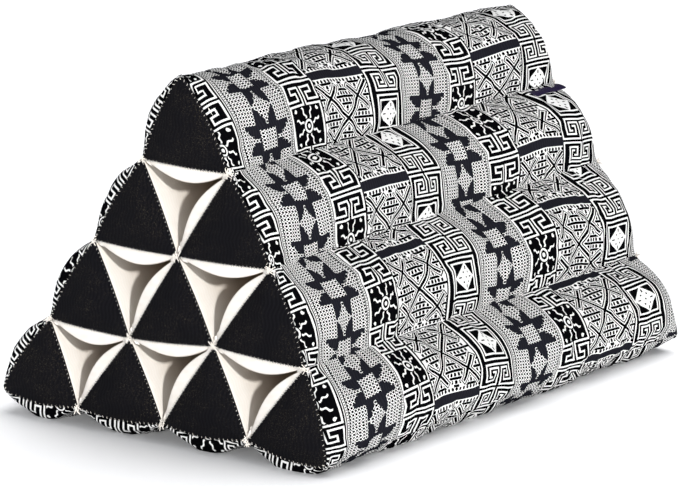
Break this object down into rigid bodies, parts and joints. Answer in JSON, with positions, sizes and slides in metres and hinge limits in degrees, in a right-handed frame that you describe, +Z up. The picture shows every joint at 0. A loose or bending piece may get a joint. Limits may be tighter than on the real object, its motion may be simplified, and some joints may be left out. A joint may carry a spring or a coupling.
{
  "type": "thai triangle cushion",
  "caption": "Triangular floor cushion of filled fabric rolls sewn together, with a patterned cover, plain dark ends and open channels between the rolls.",
  "frame": {"origin": "on the floor, under the middle of the cushion's box", "axes": "+X along the rolls, +Y across the ends, +Z up from the base to the ridge"},
  "size_m": [0.5409, 0.3328, 0.2942],
  "materials": {
    "patterned_cotton": "matte jacquard weave",
    "cream_cotton": "matte plain weave",
    "black_cotton": "matte plain weave",
    "purple_ribbon": "satin woven ribbon"
  },
  "bodies": {
    "root": {"patterned_cover": "patterned_cotton", "roll_1_1": "cream_cotton", "roll_2_1": "cream_cotton", "roll_2_2": "cream_cotton", "roll_3_1": "cream_cotton", "roll_3_2": "cream_cotton", "roll_3_3": "cream_cotton", "roll_4_1": "cream_cotton", "roll_4_2": "cream_cotton", "roll_4_3": "cream_cotton", "roll_4_4": "cream_cotton", "end_panel_near_1_1": "black_cotton", "end_panel_near_2_1": "black_cotton", "end_panel_near_2_2": "black_cotton", "end_panel_near_3_1": "black_cotton", "end_panel_near_3_2": "black_cotton", "end_panel_near_3_3": "black_cotton", "end_panel_near_4_1": "black_cotton", "end_panel_near_4_2": "black_cotton", "end_panel_near_4_3": "black_cotton", "end_panel_near_4_4": "black_cotton", "end_panel_far_1_1": "black_cotton", "end_panel_far_2_1": "black_cotton", "end_panel_far_2_2": "black_cotton", "end_panel_far_3_1": "black_cotton", "end_panel_far_3_2": "black_cotton", "end_panel_far_3_3": "black_cotton", "end_panel_far_4_1": "black_cotton", "end_panel_far_4_2": "black_cotton", "end_panel_far_4_3": "black_cotton", "end_panel_far_4_4": "black_cotton", "label_ribbon": "purple_ribbon"}
  },
  "joints": []
}
